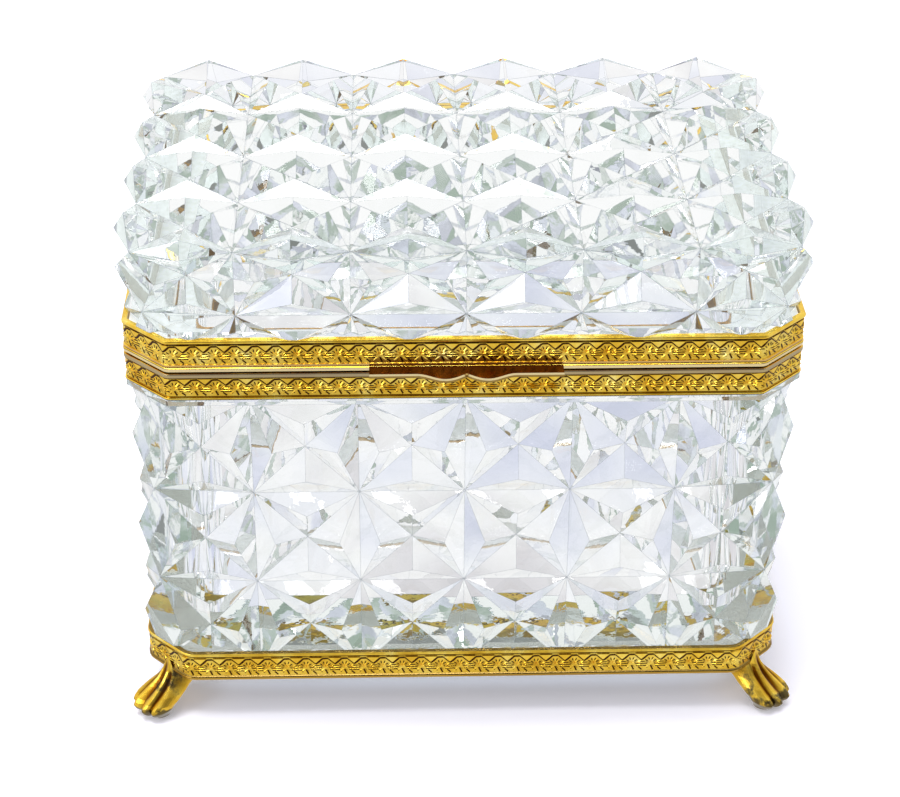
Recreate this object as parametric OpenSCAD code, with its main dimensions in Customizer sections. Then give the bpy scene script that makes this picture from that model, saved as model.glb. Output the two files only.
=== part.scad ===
// Cut-crystal casket with gilt brass mounts on four paw feet.
// Millimetres, +Z up. The origin is on the floor, under the middle of the box;
// +X runs along the front, from left to right, and -Y faces the thumb lip.

/* [Overall] */
// Width of the box over its metal bands
case_w = 150; // [130:1:190]
// Depth of the box over its metal bands
case_d = 104; // [94:1:130]
// Leg of the 45 degree corner on the bands
corner_cut = 10; // [8:0.5:12]
// Narrowing of the base band on each side, against the upper bands
base_step = 0.6; // [0.4:0.1:2]

/* [Heights] */
// Floor to the underside of the base band
foot_h = 10.3; // [9:0.1:13]
// Height of the base band
base_rim_h = 7.4; // [6:0.2:9]
// Cut glass that shows between the base band and the body band
body_show_h = 68.7; // [55:0.1:90]
// Height of the body's upper band
body_rim_h = 6.6; // [5.6:0.2:9]
// Height of the lid's band
lid_rim_h = 7.8; // [6.6:0.2:10]
// Glass of the lid above its band, up to the bottom of its top grooves
lid_show_h = 19.5; // [16:0.5:26]
// Dark gap between the two bands when the lid is shut
seam_gap = 0.4; // [0.2:0.05:0.6]

/* [Cut glass] */
// Cells of the star pattern along the front
cols_x = 6; // [5:1:8]
// Cells of the star pattern along a side
cols_y = 4; // [3:1:6]
// Height of one cell on the body
row_pitch = 24; // [21:0.5:26]
// Depth of the groove bottoms behind the band's face
groove_in = 3; // [2.4:0.2:3.6]
// Height of the pyramid points over the groove bottoms, on the body
point_h = 3; // [2:0.2:3.4]
// Height of the pyramid points over the groove bottoms, on the lid
lid_point_h = 3.6; // [2.4:0.2:4]
// Distance from a star-to-star groove to the pyramid point beside it
point_in = 4.6; // [3.6:0.2:6]
// Reach of the lid's edge tips outside the groove bottoms
tip_out = 3.8; // [2.4:0.2:4.4]
// Set-back of the tips' upper end from their lower end
tip_lean = 2.3; // [1:0.1:3]
// Width of the body's corner cells, as a share of the others
corner_cell = 0.95; // [0.85:0.01:1]
// Width of the lid's corner cells along the front, as a share of the others
lid_corner_cell = 0.88; // [0.8:0.01:1]
// Width of the lid's corner cells along the sides, as a share of the others
lid_side_corner_cell = 0.97; // [0.85:0.01:1]
// How far the body's corner stars are cut back from a sharp corner
corner_dip = 2.2; // [1.6:0.1:3]
// The same at the lid's upper corners
lid_corner_dip = 0.6; // [0.4:0.1:1.2]

/* [Inside] */
// Wall of glass behind the grooves
wall_t = 10; // [8:0.5:12]
// Radius of the upright inner corners
inner_r = 6; // [4:0.5:10]
// Thickness of the glass floor
floor_t = 13; // [9:0.5:16]
// Thickness of the lid's glass below its top grooves
lid_top_t = 9.5; // [7:0.5:12]

/* [Metal] */
// Thickness of the bands' upright faces
band_t = 1.3; // [1.1:0.1:1.6]
// Thickness of the bands' flat ledges
ledge_t = 1; // [0.8:0.1:1.4]
// Outer radius of the upper bands' bends
band_bend_r = 2.2; // [1.8:0.1:3]
// Outer radius of the base band's bends
base_bend_r = 5; // [3:0.5:6]
// Thickness of the cement beds
bed_t = 1.4; // [1.2:0.1:2]
// Height of the locating strip over the body's ledge
strip_up = 1.9; // [1.2:0.1:2.4]
// Thickness of the locating strip
strip_t = 0.8; // [0.6:0.1:1.2]

/* [Thumb lip] */
// Length of the lip along the front
lip_w = 42; // [34:1:50]
// Reach of the two lobes
lip_reach = 5.8; // [4.8:0.1:7]
// Reach of the straight ends
lip_end_reach = 3.5; // [2.6:0.1:4.4]
// Reach at the point between the lobes
lip_notch_reach = 3.4; // [2.4:0.1:4]
// Thickness of the lip
lip_t = 1; // [0.8:0.1:1.2]

/* [Hinge] */
// Length of the hinge along the back
hinge_w = 60; // [45:1:80]
// Radius of the knuckles
knuckle_r = 2.6; // [2.2:0.1:3]
// Gap between the bands' back face and the knuckles
knuckle_gap = 0.6; // [0.3:0.05:0.6]
// Thickness of the leaves
leaf_t = 1; // [0.8:0.1:1.4]
// Radius of the hinge pin
pin_r = 1.2; // [1:0.1:1.4]

/* [Feet] */
// Reach of the toes from the base band's corner
paw_reach = 9.3; // [8:0.1:11]
// Width across the toes
paw_w = 10.7; // [9:0.1:12]
// Turn of the toes from the corner's diagonal towards the sides, in degrees
paw_turn = 8; // [0:1:15]
// Radius of the threaded studs
stud_r = 1.25; // [1:0.05:1.4]

/* [Hidden] */
$fn = 48;

// ---- heights ----
base_z = foot_h;
base_top_z = base_z + base_rim_h;
body_rim_z = base_top_z + body_show_h;
seam_z = body_rim_z + body_rim_h;
lid_z = seam_z + seam_gap;
lid_rim_top_z = lid_z + lid_rim_h;
lid_top_z = lid_rim_top_z + lid_show_h;
glass_clear = 0.1;          // glass to the edge of a band
hinge_z = seam_z + seam_gap / 2;

// ---- plan ----
half_w = case_w / 2;
half_d = case_d / 2;
base_w = case_w - 2 * base_step;
base_d = case_d - 2 * base_step;
groove_x = half_w - groove_in;
groove_y = half_d - groove_in;
hollow_x = groove_x - wall_t;
hollow_y = groove_y - wall_t;
skirt_lap = 0.3;
skirt_in = groove_in + skirt_lap;   // the plain glass that stands inside a band
collar_in = 0.3;              // plain glass collar behind the bands' face
fit_gap = 0.1;                // strip to glass
strip_clear = 0.3;            // strip to the lid's ledge
root2 = sqrt(2);

// ---- stars: a ring of nodes round the box, then cells raised to points ----

// Place of column i of n between -c and c, where the end cells are narrower
function column(i, n, c, share) =
    i == 0 ? -c : i == n ? c : -c + 2 * c / (n - 2 + 2 * share) * (share + i - 1);

// Star nodes round the box, anticlockwise from the front left corner. The corner
// stars are cut back by dip; the others share their columns with the ring's reach.
function star_ring(dip, reach_x, reach_y, share_x, share_y) =
    let (gx = groove_x, gy = groove_y, cx = gx - dip, cy = gy - dip,
         xs = [for (i = [0:cols_x]) column(i, cols_x, reach_x, share_x)],
         ys = [for (j = [0:cols_y]) column(j, cols_y, reach_y, share_y)])
    concat(
        [for (i = [0:cols_x - 1]) i == 0 ? [-cx, -cy] : [xs[i], -gy]],
        [for (j = [0:cols_y - 1]) j == 0 ? [cx, -cy] : [gx, ys[j]]],
        [for (i = [0:cols_x - 1]) i == 0 ? [cx, cy] : [-xs[i], gy]],
        [for (j = [0:cols_y - 1]) j == 0 ? [-cx, cy] : [-gx, -ys[j]]]);

cells_round = 2 * (cols_x + cols_y);
function next_cell(k) = (k + 1) % cells_round;
// Side of the box that cell k is on, from 0 at the front, and its outward direction
function side_of(k) = k < cols_x ? 0 : k < cols_x + cols_y ? 1 : k < 2 * cols_x + cols_y ? 2 : 3;
function out_of(k) = [[0, -1, 0], [1, 0, 0], [0, 1, 0], [-1, 0, 0]][side_of(k)];
function groove_of(k) = side_of(k) % 2 == 0 ? groove_y : groove_x;

function at_z(p, z) = [p[0], p[1], z];
// Middle between two ring nodes, brought out to the groove plane of cell k
function mid_of(ring, k, z) =
    let (m = (ring[k] + ring[next_cell(k)]) / 2, n = out_of(k))
    at_z(m, z) + n * (groove_of(k) - (n * at_z(m, 0)));

// Point of the line a-b that is nearest to p
function foot_on(a, b, p) = a + (b - a) * ((p - a) * (b - a)) / ((b - a) * (b - a));
function beside(a, b, c) = let (m = foot_on(a, b, c)) m + (c - m) * (point_in / norm(c - m));
// Three facets over the triangle a, b, c: a point stands beside the groove a-b
function pointed(a, b, c, n, h) =
    let (r = beside(a, b, c) + n * h)
    [[a, b, r], [b, c, r], [c, a, r]];

// Height of that point when a-b is a corner of the box and is to stay a flat diamond
function corner_h(a, b, c, n, n_next) =
    let (flat = cross(b - a, n - n_next)) -((beside(a, b, c) - a) * flat) / (n * flat);
function right_h(k, b, c, m, h) =
    let (n = out_of(k), o = out_of(next_cell(k))) n == o ? h : corner_h(b, c, m, n, o);
function left_h(k, d, a, m, h) =
    let (n = out_of(k), o = out_of((k + cells_round - 1) % cells_round))
    n == o ? h : corner_h(d, a, m, n, o);

// Cell k: four star nodes round a middle, listed anticlockwise from outside
function star_cell(k, a, b, c, d, m, h) =
    let (n = out_of(k))
    concat(pointed(a, b, m, n, h), pointed(b, c, m, n, right_h(k, b, c, m, h)),
           pointed(c, d, m, n, h), pointed(d, a, m, n, left_h(k, d, a, m, h)));

// A level of cells between two rings of stars
function star_level(low, high, z0, z1, h) =
    [for (k = [0:cells_round - 1])
        for (f = star_cell(k, at_z(low[k], z0), at_z(low[next_cell(k)], z0),
                           at_z(high[next_cell(k)], z1), at_z(high[k], z1),
                           mid_of(low, k, (z0 + z1) / 2), h)) f];

// Flat closing of a ring, facing up or down
function ring_cap(ring, z, up) =
    [for (k = [0:cells_round - 1])
        let (a = at_z(ring[k], z), b = at_z(ring[next_cell(k)], z), c = [0, 0, z])
        up ? [a, b, c] : [b, a, c]];

// Points are rounded to this many steps a millimetre, so that neighbours share them. The
// rounding is off centre, because plain sizes often lie halfway between two steps.
grain = 1e4;
grain_off = 0.37;
function snapped(p) = [for (v = p) round(v * grain + grain_off) / grain];
module facets(list) {
    polyhedron(points = [for (f = list) for (p = f) snapped(p)],
               faces = [for (i = [0:len(list) - 1]) [3 * i + 2, 3 * i + 1, 3 * i]]);
}

// ---- plan outlines ----

// Eight-sided outline of the bands, set in from the outer face of a w by d box
module octagon(inset, w = case_w, d = case_d, cut = corner_cut) {
    a = w / 2 - inset;
    b = d / 2 - inset;
    c = cut - inset * (2 - root2);
    polygon([[-a + c, -b], [a - c, -b], [a, -b + c], [a, b - c],
             [a - c, b], [-a + c, b], [-a, b - c], [-a, -b + c]]);
}

// Rectangle with round corners, given by its half sizes
module round_rect(a, b, r) {
    square([2 * a, 2 * (b - r)], center = true);
    square([2 * (a - r), 2 * b], center = true);
    for (x = [-1, 1]) for (y = [-1, 1]) translate([x * (a - r), y * (b - r)]) circle(r);
}

module slab(z0, z1) {
    translate([0, 0, z0]) linear_extrude(z1 - z0) children();
}

// Carries a band's section round the eight sides, with a round bend at each corner.
// The section is a closed list of [x out from the face, height], anticlockwise.
bend_steps = 3;
module band(section, w, d, cut, bend_r) {
    n = 8 * (bend_steps + 1);
    m = len(section);
    tangent = bend_r * tan(22.5);
    a = w / 2;
    b = d / 2;
    centres = [[-a + cut + tangent, bend_r - b], [a - cut - tangent, bend_r - b],
               [a - bend_r, tangent + cut - b], [a - bend_r, b - cut - tangent],
               [a - cut - tangent, b - bend_r], [-a + cut + tangent, b - bend_r],
               [-a + bend_r, b - cut - tangent], [-a + bend_r, tangent + cut - b]];
    polyhedron(
        points = [for (p = section) for (i = [0:7]) for (s = [0:bend_steps])
            let (turn = 45 * (i + s / bend_steps) - 135, c = centres[i], r = bend_r + p[0])
            snapped([c[0] + r * cos(turn), c[1] + r * sin(turn), p[1]])],
        faces = [for (j = [0:m - 1]) for (v = [0:n - 1])
            let (next = (v + 1) % n, up = (j + 1) % m)
            [j * n + v, up * n + v, up * n + next, j * n + next]]);
}

// ---- glass ----
body_ring = star_ring(corner_dip, groove_x - corner_dip, groove_y - corner_dip,
                      corner_cell, corner_cell);
lid_reach_x = groove_x - lid_corner_dip;
lid_reach_y = groove_y - lid_corner_dip;
function lid_ring(dip) =
    star_ring(dip, lid_reach_x, lid_reach_y, lid_corner_cell, lid_side_corner_cell);
lid_low_ring = lid_ring(corner_dip);
lid_edge_ring = lid_ring(lid_corner_dip);

first_row_drop = 1.7;         // band's lower edge down to the first row of stars
collar_h = 1.5;               // plain ring of glass under the body band
body_top_row_z = body_rim_z - first_row_drop;
body_rows = ceil((body_top_row_z - base_z) / row_pitch);
glass_floor_z = base_z + ledge_t + bed_t;
bevel_h = 3.6;                // bevel that lets the glass sit inside the base band
base_fit = 0.5;               // glass to the base band's inner face
hollow_floor_z = glass_floor_z + floor_t;
body_glass_top_z = seam_z - ledge_t - bed_t;

module glass_body() color([0.85, 0.93, 0.9, 0.45]) difference() {
    union() {
        intersection() {
            facets(concat(
                [for (r = [0:body_rows])
                    let (z1 = body_top_row_z + row_pitch - r * row_pitch)
                    for (f = star_level(body_ring, body_ring, z1 - row_pitch, z1, point_h)) f],
                ring_cap(body_ring, body_top_row_z + row_pitch, true),
                ring_cap(body_ring, body_top_row_z - body_rows * row_pitch, false)));
            glass_blank();
        }
        slab(body_rim_z - collar_h, body_rim_z - glass_clear) octagon(collar_in);
        slab(body_rim_z - 2 * groove_in, body_glass_top_z) octagon(skirt_in);
    }
    slab(hollow_floor_z, body_glass_top_z + 1) round_rect(hollow_x, hollow_y, inner_r);
}

// The uncut block: narrowed inside the base band, then bevelled out to full width
module glass_blank() {
    slab(glass_floor_z, base_top_z + glass_clear) base_seat();
    hull() {
        slab(base_top_z, base_top_z + glass_clear) base_seat();
        slab(base_top_z + bevel_h, body_rim_z - glass_clear) octagon(-2 * point_h);
    }
}
module base_seat() octagon(band_t + base_fit, base_w, base_d);

lid_star_gap = 4.4;           // lid band's top edge up to the row of stars
lid_row_z = lid_rim_top_z + lid_star_gap;
lid_mid_share = 0.65;         // height of the side cells' middles between that row and the edge
lid_mid_z = lid_row_z + lid_mid_share * (lid_top_z - lid_row_z);
lid_glass_bottom_z = lid_z + ledge_t + bed_t;
lid_hollow_top_z = lid_top_z - lid_top_t;

// Star node of the lid's top, i columns and j rows from the front left corner
function top_node(i, j) =
    let (edge_i = i == 0 || i == cols_x, edge_j = j == 0 || j == cols_y,
         x = column(i, cols_x, lid_reach_x, lid_corner_cell),
         y = column(j, cols_y, lid_reach_y, lid_side_corner_cell))
    [edge_i && !edge_j ? sign(x) * groove_x : x,
     edge_j && !edge_i ? sign(y) * groove_y : y, lid_top_z];
function top_mid(i, j) =
    (top_node(i, j) + top_node(i + 1, j) + top_node(i + 1, j + 1) + top_node(i, j + 1)) / 4;

// Top cells, without the quarters whose groove would lie on the lid's edge
function lid_top_facets() =
    [for (i = [0:cols_x - 1]) for (j = [0:cols_y - 1])
        let (c = [top_node(i, j), top_node(i + 1, j), top_node(i + 1, j + 1), top_node(i, j + 1)],
             m = top_mid(i, j), h = lid_point_h,
             inside = [j > 0, i < cols_x - 1, j < cols_y - 1, i > 0])
        for (q = [0:3]) if (inside[q])
            for (f = pointed(c[q], c[(q + 1) % 4], m, [0, 0, 1], h)) f];

// Middle of the top cell that meets ring cell k at the lid's edge
function edge_top_mid(k) =
    let (s = side_of(k))
    s == 0 ? top_mid(k, 0)
    : s == 1 ? top_mid(cols_x - 1, k - cols_x)
    : s == 2 ? top_mid(cols_x - 1 - (k - cols_x - cols_y), cols_y - 1)
    : top_mid(0, cols_y - 1 - (k - 2 * cols_x - cols_y));

// Side cells and the pyramids that fold over the lid's edge into sharp tips
function lid_side_facets() =
    [for (k = [0:cells_round - 1])
        let (n = out_of(k), h = lid_point_h, up = [0, 0, lid_point_h],
             a = at_z(lid_low_ring[k], lid_row_z), b = at_z(lid_low_ring[next_cell(k)], lid_row_z),
             c = at_z(lid_edge_ring[next_cell(k)], lid_top_z), d = at_z(lid_edge_ring[k], lid_top_z),
             m = mid_of(lid_low_ring, k, lid_mid_z), t = edge_top_mid(k),
             low_tip = mid_of(lid_edge_ring, k, lid_top_z) + n * tip_out,
             high_tip = low_tip - n * tip_lean + up)
        for (f = concat(pointed(a, b, m, n, h), pointed(b, c, m, n, right_h(k, b, c, m, h)),
                        pointed(d, a, m, n, left_h(k, d, a, m, h)),
                        [[d, m, low_tip], [m, c, low_tip], [d, low_tip, high_tip],
                         [low_tip, c, high_tip], [d, high_tip, t], [high_tip, c, t]])) f];

module glass_lid() color([0.9, 0.95, 0.97, 0.45]) difference() {
    union() {
        intersection() {
            facets(concat(
                lid_top_facets(), lid_side_facets(),
                star_level(lid_low_ring, lid_low_ring, lid_row_z - row_pitch, lid_row_z, lid_point_h),
                ring_cap(lid_low_ring, lid_row_z - row_pitch, false)));
            slab(lid_rim_top_z + glass_clear, lid_top_z + 2 * lid_point_h) octagon(-2 * tip_out);
        }
        slab(lid_glass_bottom_z, lid_row_z) octagon(skirt_in);
    }
    slab(lid_glass_bottom_z - 1, lid_hollow_top_z) round_rect(hollow_x, hollow_y, inner_r);
}

// ---- bands ----
frieze_in = 0.45;             // engraved ground behind the mouldings
lid_bead_r = 0.55;            // round moulding along the free edge of the lid's band
base_bead_r = 0.45;           // the same on the base band
body_bead_r = 0.3;            // the same on the body's band
ledge_lap = 0.1;              // ledge let into the band
line_in = 0.12;               // depth of the dark line beside the bead, below the frieze
line_h = 0.4;                 // its height
gilt = [0.86, 0.62, 0.2];
brass = [0.72, 0.62, 0.38];

// Upper end of a band's section: frieze, dark line, bead and the free edge at h
function free_edge(h, bead_r) =
    let (line_z = h - 1.82 * bead_r)
    concat(
        [[-frieze_in, line_z - line_h], [-frieze_in - line_in, line_z - line_h],
         [-frieze_in - line_in, line_z]],
        [for (turn = [-55:29:90]) [bead_r * (cos(turn) - 1), h + bead_r * (sin(turn) - 1)]],
        [[-band_t, h]]);

// Strip beside the seam at 0, with the dark line behind it
seam_strip = [[-band_t, 0], [-0.35, 0], [-0.1, 0.08], [0, 0.3], [0, 0.95], [-0.22, 1.1], [-0.22, 1.25]];
function body_band(h) = concat(seam_strip, [[-frieze_in, 1.4]], free_edge(h, body_bead_r));
function lid_band(h) = concat(seam_strip, [[-0.1, 1.35], [-0.1, 1.75], [-frieze_in, 1.9]],
                              free_edge(h, lid_bead_r));

// Flat ledge over the glass edge, with its hole
module ledge(z, hole_x, hole_y, hole_r) {
    slab(z, z + ledge_t) difference() {
        octagon(band_t - ledge_lap);
        round_rect(hole_x, hole_y, hole_r);
    }
}

strip_x = hollow_x - fit_gap;
strip_y = hollow_y - fit_gap;
strip_r = inner_r - fit_gap;

module body_rim() color(gilt) {
    translate([0, 0, seam_z]) mirror([0, 0, 1])
        band(body_band(body_rim_h), case_w, case_d, corner_cut, band_bend_r);
    ledge(seam_z - ledge_t, strip_x, strip_y, strip_r);
}

module lid_rim() color(gilt) {
    translate([0, 0, lid_z])
        band(lid_band(lid_rim_h), case_w, case_d, corner_cut, band_bend_r);
    ledge(lid_z, strip_x + strip_clear, strip_y + strip_clear, strip_r + strip_clear);
}

// Upright strip soldered inside the body's ledge; the lid drops round it
strip_down = 2 * ledge_t;     // its reach below the ledge
module locating_strip() color(gilt)
slab(seam_z - ledge_t - strip_down, seam_z + strip_up) difference() {
    round_rect(strip_x, strip_y, strip_r);
    round_rect(strip_x - strip_t, strip_y - strip_t, strip_r - strip_t);
}

base_ledge_w = 12;            // base ledge, measured in from the band's face

// Section of the base band, with its lower bead at 0
function base_band(h) = concat(
    [[-band_t, 0], [-0.35, 0], [-0.1, 0.1], [0, 0.3], [0, 0.7], [-0.15, 0.9], [-frieze_in, 1.1]],
    free_edge(h, base_bead_r));

module base_rim() color(gilt) difference() {
    union() {
        translate([0, 0, base_z])
            band(base_band(base_rim_h), base_w, base_d, corner_cut, base_bend_r);
        slab(base_z, base_z + ledge_t) difference() {
            octagon(band_t - ledge_lap, base_w, base_d);
            round_rect(base_w / 2 - base_ledge_w, base_d / 2 - base_ledge_w, inner_r);
        }
    }
    at_studs() translate([0, 0, base_z - 1]) cylinder(r = stud_r + stud_clear, h = ledge_t + 2);
}

// ---- cement ----
bed_clear = 0.1;              // cement to the bands' inner faces
bed_set_back = 1;             // cement stops short of a band's free edge
bend_share = 0.08;            // of a bend's radius: what a sharp corner inside it stands off
upper_bed_in = band_t + bed_clear + bend_share * band_bend_r;
cement = [0.88, 0.87, 0.83];

module body_bed() color(cement) difference() {
    slab(body_rim_z + bed_set_back, seam_z - ledge_t) octagon(upper_bed_in);
    slab(body_rim_z, body_glass_top_z) octagon(skirt_in);
    slab(body_rim_z, seam_z) round_rect(hollow_x, hollow_y, inner_r);
}

module lid_bed() color(cement) difference() {
    slab(lid_z + ledge_t, lid_rim_top_z - bed_set_back) octagon(upper_bed_in);
    slab(lid_glass_bottom_z, lid_rim_top_z) octagon(skirt_in);
    slab(lid_z, lid_rim_top_z) round_rect(hollow_x, hollow_y, inner_r);
}

module base_bed() color(cement) difference() {
    slab(base_z + ledge_t, glass_floor_z)
        octagon(band_t + base_fit + bed_clear, base_w, base_d);
    slab(base_z, glass_floor_z + 1)
        round_rect(base_w / 2 - base_ledge_w, base_d / 2 - base_ledge_w, inner_r);
    at_studs() translate([0, 0, base_z])
        cylinder(r = nut_r + nut_clear, h = ledge_t + bed_t + 1);
}

// ---- thumb lip: a cupid's bow on the lid band's front ----
lobe_x = 4.6;                 // middle of the lip to the middle of a lobe
bow_x = 10.8;                 // middle of the lip to the end of its bow
function lip_front(x) =
    let (u = abs(x))
    u >= bow_x ? lip_end_reach
    : u >= lobe_x ? lip_end_reach + (lip_reach - lip_end_reach) / 2
                    * (1 + cos(180 * (u - lobe_x) / (bow_x - lobe_x)))
    : lip_notch_reach + (lip_reach - lip_notch_reach) * sin(90 * u / lobe_x);

lip_lift = 0.1;               // underside of the lip over the lid's edge
lip_z = lid_z + lip_lift;
lip_steps = 54;
module thumb_lip() color(gilt) translate([0, -half_d, lip_z]) linear_extrude(lip_t)
    polygon(concat(
        [[lip_w / 2, 0], [-lip_w / 2, 0], [-lip_w / 2, -lip_end_reach]],
        [for (i = [0:lip_steps]) let (x = bow_x * (2 * i / lip_steps - 1)) [x, -lip_front(x)]],
        [[lip_w / 2, -lip_end_reach]]));

// ---- hinge: five knuckles behind the seam ----
hinge_y = half_d + knuckle_gap + knuckle_r;
knuckles = 5;
knuckle_play = 0.15;          // end gap between knuckles
pin_clear = 0.05;             // pin to the knuckles' bore
knuckle_w = hinge_w / knuckles;
knuckle_swing = 0.35;         // one leaf's edge to the other's knuckles

function knuckle_x(i) = -hinge_w / 2 + i * knuckle_w;

// One leaf: z0 and z1 are the far edge and the seam edge of its plate
module hinge_leaf(z0, z1, own) {
    relief = sqrt(pow(knuckle_r + knuckle_swing, 2) - pow(knuckle_gap + knuckle_r - leaf_t, 2));
    difference() {
        union() {
            translate([-hinge_w / 2, half_d, min(z0, z1)]) cube([hinge_w, leaf_t, abs(z1 - z0)]);
            for (i = own) translate([knuckle_x(i) + knuckle_play / 2, hinge_y, hinge_z])
                rotate([0, 90, 0]) cylinder(r = knuckle_r, h = knuckle_w - knuckle_play);
        }
        for (i = [0:knuckles - 1]) if (len(search(i, own)) == 0)
            translate([knuckle_x(i) - knuckle_play / 2, half_d - 1, hinge_z - relief])
                cube([knuckle_w + knuckle_play, leaf_t + 2, 2 * relief]);
        translate([-hinge_w, hinge_y, hinge_z]) rotate([0, 90, 0])
            cylinder(r = pin_r + pin_clear, h = 2 * hinge_w);
    }
}

leaf_edge = 0.2;              // leaf's far edge inside the band's free edge
module hinge_leaf_body() color(gilt)
    hinge_leaf(body_rim_z + leaf_edge, seam_z, [0, 2, 4]);
module hinge_leaf_lid() color(gilt)
    hinge_leaf(lid_rim_top_z - leaf_edge, lid_z, [1, 3]);

head_t = 0.7;
head_lap = 0.5;               // pin heads over the pin
head_r = pin_r + head_lap;
module hinge_pin() color(brass)
    translate([-hinge_w / 2, hinge_y, hinge_z]) rotate([0, 90, 0]) {
        cylinder(r = pin_r, h = hinge_w);
        for (z = [-head_t, hinge_w]) translate([0, 0, z]) cylinder(r = head_r, h = head_t);
    }

// ---- feet: cast lion's paws set across the base band's corners ----
paw_levels = 18;
paw_steps = 48;
paw_low = -0.06;              // lower and upper end of the paw before it is trimmed, as a
paw_high = 1.3;               // share of the foot's height
pad_share = 0.28;             // thickness of the mounting pad, as a share of the foot's height
stud_back = 5.2;              // corner face back to the stud
pad_rim = 1.4;                // metal of the pad behind the stud
pad_back = stud_back + stud_r + pad_rim;
heel_lead = 0.5;              // how far the heel stands out under the pad's rear edge
// Tables by height, as a share of the foot's: the heel and the toes as shares of paw_reach
// from the corner's face, the half width as a share of paw_w, and the depth of the toe grooves
paw_heel = [[0, 0.12 * paw_reach], [0.1, 0.1 * paw_reach], [0.3, -0.02 * paw_reach],
            [0.5, -0.34 * paw_reach], [0.64, -0.58 * paw_reach],
            [1 - pad_share, heel_lead - pad_back], [0.8, -pad_back], [paw_high, -pad_back]];
paw_toe = [[0, 0.66], [0.1, 0.86], [0.22, 1], [0.36, 0.91], [0.5, 0.69], [0.65, 0.47],
           [0.8, 0.28], [1, 0.12], [1.15, 0.05], [paw_high, 0]];
paw_half = [[0, 0.33], [0.1, 0.4], [0.24, 0.49], [0.4, 0.5], [0.55, 0.45], [0.7, 0.36],
            [0.85, 0.29], [1, 0.25], [1.15, 0.22], [paw_high, 0.16]];
paw_cut = [[0, 0.26], [0.3, 0.26], [0.6, 0.2], [0.9, 0.12], [1.2, 0.04], [paw_high, 0]];

toe_angle = 36;               // angle between toe grooves, from the paw's middle
toe_sharp = 9;                // half width of a toe groove
function toe_groove(a) =
    max([for (g = [-1:1]) let (d = (a - g * toe_angle) / toe_sharp) exp(-d * d)]);
paw_round = 0.85;             // 1 gives an oval section, less a squarer one
function squared(c, e) = sign(c) * pow(abs(c), e);

function paw_point(level, step) =
    let (u = paw_low + (paw_high - paw_low) * level / paw_levels,
         a = 360 * step / paw_steps - 180,
         back = lookup(u, paw_heel), front = lookup(u, paw_toe) * paw_reach,
         half = lookup(u, paw_half) * paw_w,
         shrink = 1 - lookup(u, paw_cut) * toe_groove(a))
    [(back + front) / 2 + (front - back) / 2 * squared(cos(a), paw_round) * shrink,
     half * squared(sin(a), paw_round) * shrink, u * foot_h];

module paw() {
    n = paw_steps;
    polyhedron(
        points = concat([for (l = [0:paw_levels]) for (s = [0:n - 1]) snapped(paw_point(l, s))],
                        [for (l = [0, paw_levels])
                            let (p = paw_point(l, 0), q = paw_point(l, n / 2))
                            snapped((p + q) / 2)]),
        faces = concat(
            [for (l = [0:paw_levels - 1]) for (s = [0:n - 1]) for (half = [0, 1])
                let (a = l * n + s, b = l * n + (s + 1) % n)
                half == 0 ? [b, a, a + n] : [b, a + n, b + n]],
            [for (s = [0:n - 1]) [s, (s + 1) % n, (paw_levels + 1) * n]],
            [for (s = [0:n - 1]) [paw_levels * n + (s + 1) % n, paw_levels * n + s,
                                  (paw_levels + 1) * n + 1]]));
}

paw_corner = base_w / 2 - corner_cut / 2;      // middle of the base band's corner face, in X
paw_corner_y = base_d / 2 - corner_cut / 2;    // the same in Y
stud_clear = 0.1;
stud_deep = 0.23 * foot_h;    // hole for the stud in the foot's pad
stud_end = 0.1;               // end of the stud to the bottom of that hole
nut_r = 2.3;
nut_h = 1.2;
nut_clear = 0.2;              // nut to the cement

// Puts something made for the front right corner, at a paw's own origin, in a corner
module in_corner(sx, sy) {
    translate([sx * paw_corner, sy * paw_corner_y, 0])
        rotate(atan2(sy, sx) - sx * sy * paw_turn) children();
}
module at_studs() {
    for (sx = [-1, 1]) for (sy = [-1, 1]) in_corner(sx, sy) translate([-stud_back, 0, 0]) children();
}

module foot(sx, sy) color(gilt) difference() {
    in_corner(sx, sy) paw();
    slab(-foot_h, 0) square(2 * (case_w + case_d), center = true);
    slab(base_z, base_z + base_rim_h) octagon(0, base_w, base_d);
    in_corner(sx, sy) translate([-stud_back, 0, base_z - stud_deep])
        cylinder(r = stud_r + pin_clear, h = foot_h);
}
module foot_front_left() foot(-1, -1);
module foot_front_right() foot(1, -1);
module foot_rear_left() foot(-1, 1);
module foot_rear_right() foot(1, 1);

module foot_studs() color(brass) at_studs() translate([0, 0, base_z - stud_deep + stud_end])
    cylinder(r = stud_r, h = stud_deep + ledge_t + nut_h);

module foot_nuts() color(brass) at_studs() translate([0, 0, base_z + ledge_t]) difference() {
    cylinder(r = nut_r, h = nut_h, $fn = 6);
    translate([0, 0, -1]) cylinder(r = stud_r + pin_clear, h = nut_h + 2, $fn = 48);
}

glass_body();
glass_lid();
body_rim();
lid_rim();
base_rim();
locating_strip();
thumb_lip();
body_bed();
lid_bed();
base_bed();
hinge_leaf_body();
hinge_leaf_lid();
hinge_pin();
foot_front_left();
foot_front_right();
foot_rear_left();
foot_rear_right();
foot_studs();
foot_nuts();
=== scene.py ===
# %% [markdown]
# A cut-crystal casket in gilt brass mounts, dressed for a white studio.
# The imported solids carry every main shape. This file lights them, gives each
# surface its finish, and adds the ornament that is too fine for the solids.

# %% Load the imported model
import math

import bpy
from mathutils import Matrix, Vector


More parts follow.
